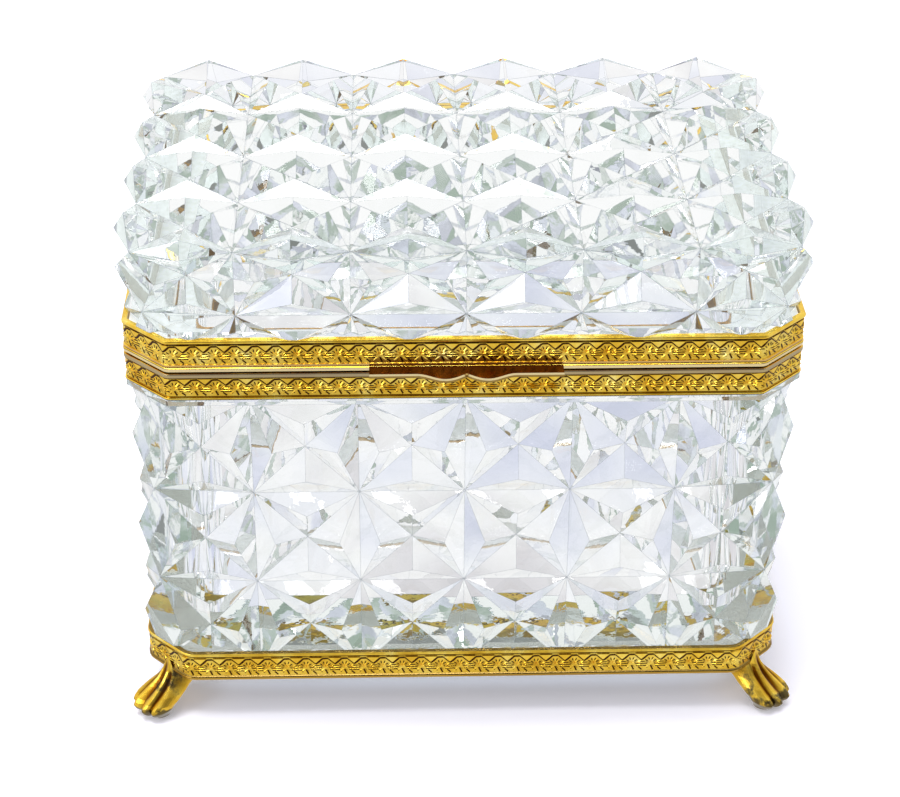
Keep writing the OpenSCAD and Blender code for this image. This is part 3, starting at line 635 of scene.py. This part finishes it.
# %% The motif's tools
UNIT = 4.47      # mm, length of one motif
GROUND = 0.07    # mm, ground of the frieze over the sunk face of the band
RAISED = 0.26    # mm, height of the leaves over that ground
LINE = 0.11      # mm, where the lines of painted shade lie
FULL_LIGHT, GROUND_TONE, SHADED, DARK = 1.0, 0.86, 0.6, 0.0    # how light a face is painted: the lines and the triangles' sides are painted shade, the ground just a little darker
TILE_STEPS = 4   # lengths of the ground plate, so that it can bend
RIDGE = 0.4      # where along a leaf its ridge is highest


class Motif:
    """Collects the vertices and faces of one motif; x along, y out, z up, in mm."""

    def __init__(self):
        self.points, self.faces, self.marks = [], [], []

    def add_face(self, corners, mark):
        """A face from (along, out, up) corners, anticlockwise as seen from outside."""
        first = len(self.points)
        self.points += corners
        self.faces.append(tuple(range(first, first + len(corners))))
        self.marks.append(mark)

    def leaf(self, start, end, width):
        """A pointed leaf with a ridge, from start to end in the plane of the band."""
        a, b = Vector(start), Vector(end)
        side = Vector((-(b - a).y, (b - a).x)).normalized() * width / 2
        middle = a.lerp(b, RIDGE)
        tips = [(a.x, GROUND, a.y), (middle.x - side.x, GROUND, middle.y - side.y),
                (b.x, GROUND, b.y), (middle.x + side.x, GROUND, middle.y + side.y)]
        crest = (middle.x, GROUND + RAISED, middle.y)
        for i in range(4):
            self.add_face([tips[i], tips[(i + 1) % 4], crest], FULL_LIGHT)

    def ground(self, length, height):
        """The flat plate behind the ornament."""
        for i in range(TILE_STEPS):
            x0, x1 = (length * t / TILE_STEPS for t in (i, i + 1))
            self.add_face([(x0, GROUND, 0), (x1, GROUND, 0), (x1, GROUND, height),
                           (x0, GROUND, height)], GROUND_TONE)

    def groove(self, path, widths):
        """A line of painted shade through the points, lying on the ground."""
        for (x0, z0), (x1, z1), width in zip(path, path[1:], widths):
            side = Vector((z0 - z1, x1 - x0)).normalized() * width / 2
            self.add_face([(x0 - side.x, LINE, z0 - side.y), (x1 - side.x, LINE, z1 - side.y),
                           (x1 + side.x, LINE, z1 + side.y), (x0 + side.x, LINE, z0 + side.y)],
                          DARK)

    def triangle(self, a, b, c, out):
        """A raised plain triangle, its sides painted in shade."""
        top = [(p[0], out, p[1]) for p in (a, b, c)]
        foot = [(p[0], GROUND, p[1]) for p in (a, b, c)]
        self.add_face(top, FULL_LIGHT)
        for i in range(3):
            j = (i + 1) % 3
            self.add_face([top[j], top[i], foot[i], foot[j]], SHADED)


# %% [markdown]
# The drawing of one motif. Its places are shares of the motif's length w and
# height h, so that the same drawing fits bands of different heights. The widths
# of leaves and grooves stay in mm, as one tool cuts them all.

# %% One motif
ARCH = [(0.0, 0.62), (0.14, 0.72), (0.34, 0.93), (0.64, 0.94), (0.84, 0.76), (1.0, 0.62)]
ARCH_WIDTHS = (0.46, 0.5, 0.4, 0.26, 0.22)      # the line of painted shade is wider on the arch's left side
FAN_LEAVES = (90, 52, 128, 14, 166)             # degrees
FAN_GROOVES = (71, 109, 33, 147)
PALMETTE_LEAF, LAUREL_LEAF, SMALL_LEAF, SCALLOP_LEAF = 0.66, 0.36, 0.34, 0.5    # mm wide


def build_motif(name, height):
    """The motif as a mesh object that is left out of the scene."""
    m, w, h = Motif(), UNIT, height
    m.ground(w, h)
    # plain triangles hang from the top edge between the arches
    m.triangle((-0.32 * w, h), (0.0, 0.7 * h), (0.32 * w, h), GROUND + RAISED * 0.8)
    # the groove of the arch over each palmette
    m.groove([(x * w, z * h) for x, z in ARCH], ARCH_WIDTHS)
    # the palmette: leaves that fan from the middle of the motif, with grooves between
    for turn in map(math.radians, FAN_LEAVES):
        tip = (0.5 * w + 0.36 * w * math.cos(turn), 0.46 * h + 0.4 * h * math.sin(turn))
        m.leaf((0.5 * w, 0.42 * h), tip, PALMETTE_LEAF)
    for turn in map(math.radians, FAN_GROOVES):
        m.groove([(0.5 * w + r * w * math.cos(turn), 0.46 * h + r * w * math.sin(turn))
                  for r in (0.12, 0.34)], (0.24,))
    # laurel leaves lie between two palmettes, with grooves over and under them
    for z in (0.33, 0.45):
        m.leaf((-0.3 * w, z * h), (0.3 * w, z * h), LAUREL_LEAF)
    m.leaf((-0.26 * w, 0.48 * h), (0.04 * w, 0.6 * h), SMALL_LEAF)
    for z, reach in ((0.27, 0.26), (0.4, 0.32), (0.52, 0.2)):
        m.groove([(-reach * w, z * h), (reach * w, z * h)], (0.22,))
    # scallops along the lower edge
    m.leaf((0.46 * w, 0.34 * h), (0.16 * w, 0.1 * h), SCALLOP_LEAF)
    m.leaf((0.54 * w, 0.34 * h), (0.84 * w, 0.1 * h), SCALLOP_LEAF)
    m.groove([(0.5 * w, 0.3 * h), (0.62 * w, 0.04 * h)], (0.4,))
    m.groove([(-0.14 * w, 0.2 * h), (0.04 * w, 0.04 * h)], (0.34,))
    m.groove([(0.2 * w, 0.3 * h), (0.34 * w, 0.14 * h)], (0.2,))
    mesh = bpy.data.meshes.new(name)
    mesh.from_pydata([Vector(p) * MM for p in m.points], [], m.faces)
    clean = mesh.attributes.new("clean_metal", "FLOAT", "FACE")
    clean.data.foreach_set("value", m.marks)
    print(name, "faces:", len(m.faces))
    return bpy.data.objects.new(name, mesh)


# %% [markdown]
# A band is a rectangle with cut corners and round bends. Its outline could be
# read from the solid's edges, but it is simpler to draw it again from the same
# few sizes: eight arcs, joined by straight lines.

# %% Outline of a band
BEND_STEPS = 6


def outline(width, depth, cut, bend, inset):
    """Points of the band's eight-sided outline with round bends, anticlockwise, in mm."""
    a, b, t = width / 2, depth / 2, bend * math.tan(math.radians(22.5))
    centres = [(-a + cut + t, bend - b), (a - cut - t, bend - b), (a - bend, t + cut - b),
               (a - bend, b - cut - t), (a - cut - t, b - bend), (-a + cut + t, b - bend),
               (-a + bend, b - cut - t), (-a + bend, t + cut - b)]
    points = []
    for i, centre in enumerate(centres):
        for s in range(BEND_STEPS + 1):
            angle = math.radians(45 * (i + s / BEND_STEPS) - 135)
            points.append((centre[0] + (bend - inset) * math.cos(angle),
                           centre[1] + (bend - inset) * math.sin(angle)))
    return points


def length_round(points):
    """The way round a closed outline."""
    return sum((Vector(points[i]) - Vector(points[i - 1])).length for i in range(len(points)))


print("a 100 x 100 mm band with 10 mm corners is",
      round(length_round(outline(100, 100, 10, 2, 0)), 1), "mm round")

# %% [markdown]
# The bending: the straight row of motifs is laid along X. Each point's X says how
# far to go along the band's outline, its Y how far to stand out, and Z stays. A
# Curve modifier would do this too, but it squeezes what passes a corner, and the
# nodes keep the height and the depth of every leaf.

# %% Nodes that wrap a motif round a band
def frieze_tree(material):
    """Geometry Nodes that repeat a motif along X and wrap it round the input outline."""
    tree = bpy.data.node_groups.new("wrap_motif_round_band", "GeometryNodeTree")
    sockets = {}
    for label, kind in (("Outline", "NodeSocketGeometry"), ("Motif", "NodeSocketObject"),
                        ("Count", "NodeSocketInt"), ("Pitch", "NodeSocketFloat")):
        sockets[label] = tree.interface.new_socket(label, in_out="INPUT", socket_type=kind)
    tree.interface.new_socket("Frieze", in_out="OUTPUT", socket_type="NodeSocketGeometry")
    given = add(tree, "NodeGroupInput")
    motif = add(tree, "GeometryNodeObjectInfo", {"Object": given.outputs["Motif"]})
    step = add(tree, "ShaderNodeCombineXYZ", {"X": given.outputs["Pitch"]})
    row = add(tree, "GeometryNodeMeshLine", {"Count": given.outputs["Count"],
                                             "Offset": step.outputs[0]})
    placed = add(tree, "GeometryNodeInstanceOnPoints", {"Points": row.outputs[0],
                                                        "Instance": motif.outputs["Geometry"]})
    real = add(tree, "GeometryNodeRealizeInstances", {"Geometry": placed.outputs[0]})
    own = add(tree, "ShaderNodeSeparateXYZ",
              {"Vector": add(tree, "GeometryNodeInputPosition").outputs[0]})
    loop = add(tree, "GeometryNodeMeshToCurve", {"Mesh": given.outputs["Outline"]})
    around = add(tree, "GeometryNodeSampleCurve",
                 {"Curves": loop.outputs[0], "Length": own.outputs["X"]},
                 mode="LENGTH", use_all_curves=False)
    outward = add(tree, "ShaderNodeVectorMath",
                  {0: around.outputs["Tangent"], 1: (0.0, 0.0, 1.0)}, operation="CROSS_PRODUCT")
    stand = add(tree, "ShaderNodeVectorMath",
                {0: outward.outputs[0], "Scale": own.outputs["Y"]}, operation="SCALE")
    rise = add(tree, "ShaderNodeCombineXYZ", {"Z": own.outputs["Z"]})
    moved = add(tree, "ShaderNodeVectorMath",
                {0: around.outputs["Position"], 1: stand.outputs[0]}, operation="ADD")
    final = add(tree, "ShaderNodeVectorMath", {0: moved.outputs[0], 1: rise.outputs[0]},
                operation="ADD")
    bent = add(tree, "GeometryNodeSetPosition", {"Geometry": real.outputs[0],
                                                 "Position": final.outputs[0]})
    done = add(tree, "GeometryNodeRealizeInstances", {"Geometry": bent.outputs[0]})
    painted = add(tree, "GeometryNodeSetMaterial", {"Geometry": done.outputs[0],
                                                    "Material": material})
    add(tree, "NodeGroupOutput", {"Frieze": painted.outputs[0]})
    print(tree.name, "nodes:", len(tree.nodes))
    return tree, {label: s.identifier for label, s in sockets.items()}


# %% [markdown]
# Each of the three bands gets its own frieze, laid in the sunk field between the
# mouldings. The lid's one rides on the lid and so opens with it. The number of
# motifs is rounded to a whole one, and the pitch follows, so that the pattern
# closes without a cut leaf.

# %% Wrap the friezes
SUNK = 0.45      # mm, depth of the frieze's ground behind the mouldings
# The motif's faces carry how light they are painted: its lines and the triangles' sides are
# painted shade.
engraved = gilding("engraved_gilt_brass", "clean_metal")
wrap, wrap_inputs = frieze_tree(engraved)


def frieze(name, body, rim, low, high, cut, bend):
    """One band's ornament: from low to high, in mm from the rim's lower edge."""
    floor_corner, top_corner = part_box(rim)
    size = [(top_corner[i] - floor_corner[i]) / MM for i in range(2)]
    points = outline(size[0], size[1], cut, bend, SUNK)
    count = round(length_round(points) / UNIT)
    pitch = length_round(points) / count
    motif = build_motif(name + "_motif", high - low)
    z = floor_corner.z / MM + low
    loop = bpy.data.meshes.new(name + "_outline")
    loop.from_pydata([Vector((x, y, z)) * MM for x, y in points],
                     [(i, (i + 1) % len(points)) for i in range(len(points))], [])
    carrier = bpy.data.objects.new(name + "_outline", loop)
    bpy.context.scene.collection.objects.link(carrier)
    modifier = carrier.modifiers.new("wrap", "NODES")
    modifier.node_group = wrap
    modifier[wrap_inputs["Motif"]] = motif
    modifier[wrap_inputs["Count"]] = count
    modifier[wrap_inputs["Pitch"]] = pitch * MM
    bpy.context.view_layer.update()
    shown = carrier.evaluated_get(bpy.context.evaluated_depsgraph_get())
    mesh = bpy.data.meshes.new_from_object(shown)
    bpy.data.objects.remove(carrier)
    piece = bpy.data.objects.new(name, mesh)
    bpy.context.scene.collection.objects.link(piece)
    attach(piece, body)
    print(name, "motifs:", count, "faces:", len(mesh.polygons))


CORNER_CUT = 10.0                   # mm, leg of the bands' cut corners
UPPER_BEND, BASE_BEND = 2.2, 5.0    # mm, radius of the bands' bends
frieze("lid_frieze", "lid", "lid_rim", 1.9, 6.4, CORNER_CUT, UPPER_BEND)
frieze("body_frieze", "case", "body_rim", 0.95, 5.2, CORNER_CUT, UPPER_BEND)
frieze("base_frieze", "case", "base_rim", 1.1, 5.95, CORNER_CUT, BASE_BEND)
